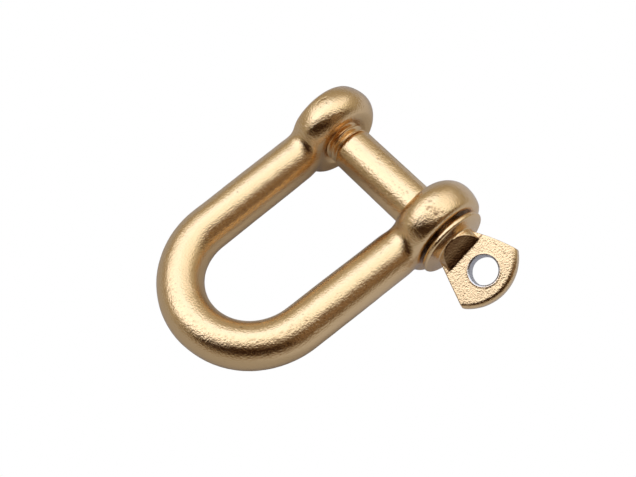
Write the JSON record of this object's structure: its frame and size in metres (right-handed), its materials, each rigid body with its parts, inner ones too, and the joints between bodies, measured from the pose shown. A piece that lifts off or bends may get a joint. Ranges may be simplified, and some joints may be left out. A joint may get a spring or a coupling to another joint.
{
  "type": "screw pin shackle",
  "caption": "Forged D shackle with two barrel eyes, a screw pin with collar, and a flat drilled head for a key or wire.",
  "frame": {"origin": "on the pin's axis, midway between the two eyes", "axes": "+X along the pin from its head to its thread, +Y along the legs towards the crown, +Z square to the plane of the legs"},
  "size_m": [0.0581, 0.0664, 0.021],
  "materials": {
    "brass": "satin tumbled brass with a fine grain and soft highlights"
  },
  "bodies": {
    "shackle": {"shackle_body": "brass"},
    "pin_carriage": {"pin_shank": "brass"},
    "screw": {"pin_thread": "brass", "pin_head": "brass"}
  },
  "joints": [
    {"name": "pin_travel", "type": "slide", "parent": "shackle", "child": "pin_carriage", "axis": [-1, 0, 0], "range_m": [-0.00056, 0.0556]},
    {"name": "pin_turn", "type": "hinge", "parent": "pin_carriage", "child": "screw", "pos_m": [0, 0, 0], "axis": [-1, 0, 0], "range_deg": [-132, 13320]}
  ],
  "couplings": [
    {"joint": "pin_travel", "follows": "pin_turn", "m_per_rad": 0.00023873}
  ]
}
